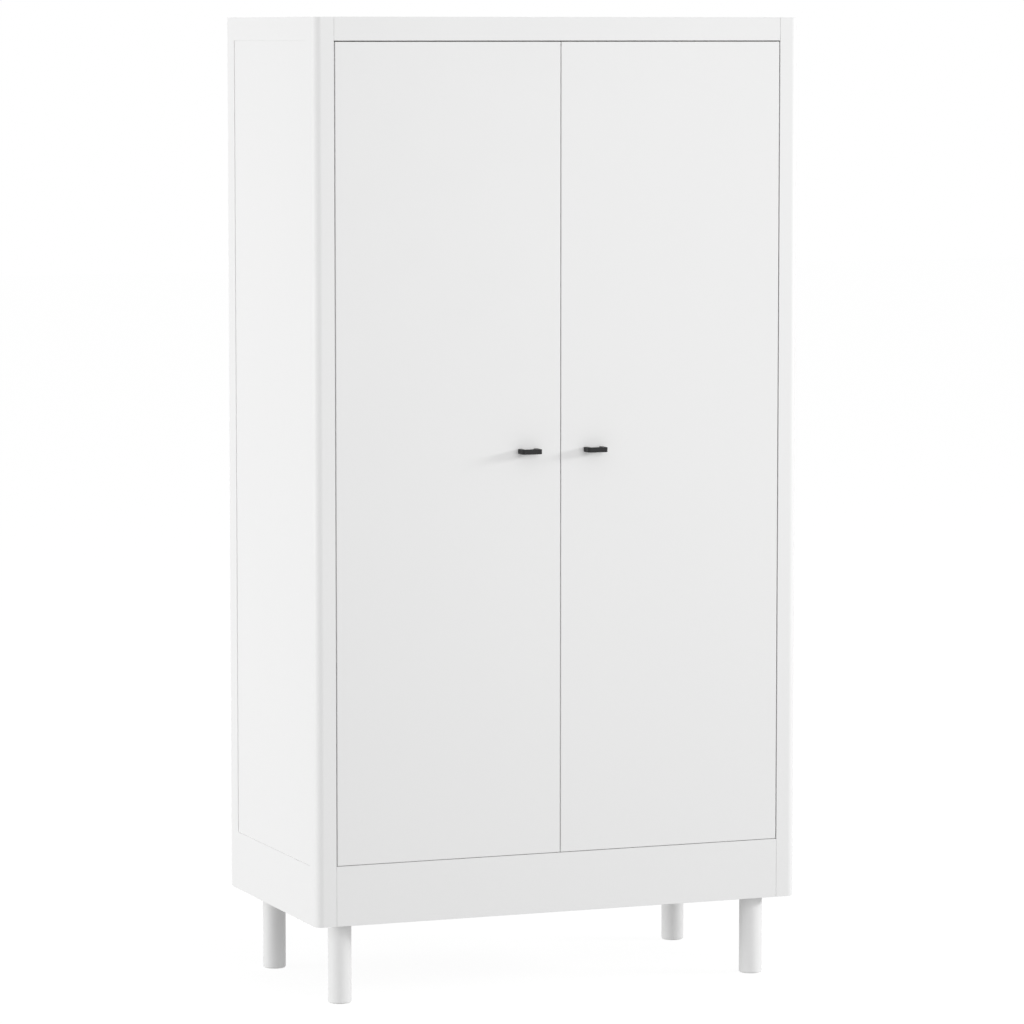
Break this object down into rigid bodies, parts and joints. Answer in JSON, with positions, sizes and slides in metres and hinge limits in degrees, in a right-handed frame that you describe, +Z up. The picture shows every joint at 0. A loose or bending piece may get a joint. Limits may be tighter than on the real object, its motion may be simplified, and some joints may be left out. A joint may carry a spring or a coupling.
{
  "type": "wardrobe with doors",
  "caption": "Tall white wardrobe with flush inset doors, small black bow handles, rounded front posts and round legs; hat shelf and clothes rail inside.",
  "frame": {"origin": "on the floor at the middle of the whole object's footprint, handles included", "axes": "+X to the right as seen from the front, +Y from the doors towards the back, +Z up"},
  "size_m": [1.06, 0.576, 2],
  "materials": {
    "white_lacquer": "smooth white satin lacquer on fibreboard and solid wood",
    "white_board": "white melamine-faced board with a faint orange-peel texture",
    "white_hardboard": "white-faced thin hardboard, matt",
    "black_powder_coat": "fine-textured matt black powder coat",
    "nickel": "nickel-plated pressed steel",
    "chrome": "bright chrome plate",
    "white_plastic": "satin moulded white plastic"
  },
  "bodies": {
    "carcass": {"front_post_left": "white_lacquer", "back_post_left": "white_lacquer", "side_top_rail_left": "white_lacquer", "side_low_rail_left": "white_lacquer", "side_panel_left": "white_lacquer", "front_post_right": "white_lacquer", "back_post_right": "white_lacquer", "side_top_rail_right": "white_lacquer", "side_low_rail_right": "white_lacquer", "side_panel_right": "white_lacquer", "front_top_rail": "white_lacquer", "plinth_rail": "white_lacquer", "back_top_rail": "white_lacquer", "back_low_rail": "white_lacquer", "top_panel": "white_lacquer", "floor_panel": "white_board", "hat_shelf": "white_board", "leg_bearer_left": "white_board", "leg_bearer_right": "white_board", "back_panel_left": "white_hardboard", "back_panel_right": "white_hardboard", "back_panel_strip": "white_plastic", "shelf_pin_front_left": "nickel", "shelf_pin_back_left": "nickel", "shelf_pin_front_right": "nickel", "shelf_pin_back_right": "nickel", "clothes_rail": "chrome", "rail_socket_left": "chrome", "rail_socket_right": "chrome", "leg_front_left": "white_lacquer", "leg_glide_front_left": "white_plastic", "leg_back_left": "white_lacquer", "leg_glide_back_left": "white_plastic", "leg_front_right": "white_lacquer", "leg_glide_front_right": "white_plastic", "leg_back_right": "white_lacquer", "leg_glide_back_right": "white_plastic", "hinge_arm_low_left": "nickel", "hinge_arm_middle_left": "nickel", "hinge_arm_high_left": "nickel", "hinge_arm_low_right": "nickel", "hinge_arm_middle_right": "nickel", "hinge_arm_high_right": "nickel"},
    "door_left": {"door_left": "white_lacquer", "handle_left": "black_powder_coat", "hinge_cup_low_left": "nickel", "hinge_cup_middle_left": "nickel", "hinge_cup_high_left": "nickel"},
    "hinge_links_left": {"hinge_link_low_left": "nickel", "hinge_link_middle_left": "nickel", "hinge_link_high_left": "nickel"},
    "door_right": {"door_right": "white_lacquer", "handle_right": "black_powder_coat", "hinge_cup_low_right": "nickel", "hinge_cup_middle_right": "nickel", "hinge_cup_high_right": "nickel"},
    "hinge_links_right": {"hinge_link_low_right": "nickel", "hinge_link_middle_right": "nickel", "hinge_link_high_right": "nickel"}
  },
  "joints": [
    {"name": "door_left_hinge", "type": "hinge", "parent": "carcass", "child": "door_left", "pos_m": [-0.475, -0.2545, 1.12135], "axis": [0, 0, -1], "range_deg": [0, 105]},
    {"name": "door_right_hinge", "type": "hinge", "parent": "carcass", "child": "door_right", "pos_m": [0.475, -0.2545, 1.12135], "axis": [0, 0, 1], "range_deg": [0, 105]},
    {"name": "hinge_links_left_pivot", "type": "hinge", "parent": "carcass", "child": "hinge_links_left", "pos_m": [-0.4695, -0.2345, 1.12135], "axis": [0, 0, -1], "range_deg": [-1, 48]},
    {"name": "hinge_links_right_pivot", "type": "hinge", "parent": "carcass", "child": "hinge_links_right", "pos_m": [0.4695, -0.2345, 1.12135], "axis": [0, 0, 1], "range_deg": [-1, 48]}
  ],
  "couplings": [
    {"joint": "hinge_links_left_pivot", "follows": "door_left_hinge", "ratio": 0.44},
    {"joint": "hinge_links_right_pivot", "follows": "door_right_hinge", "ratio": 0.44}
  ]
}
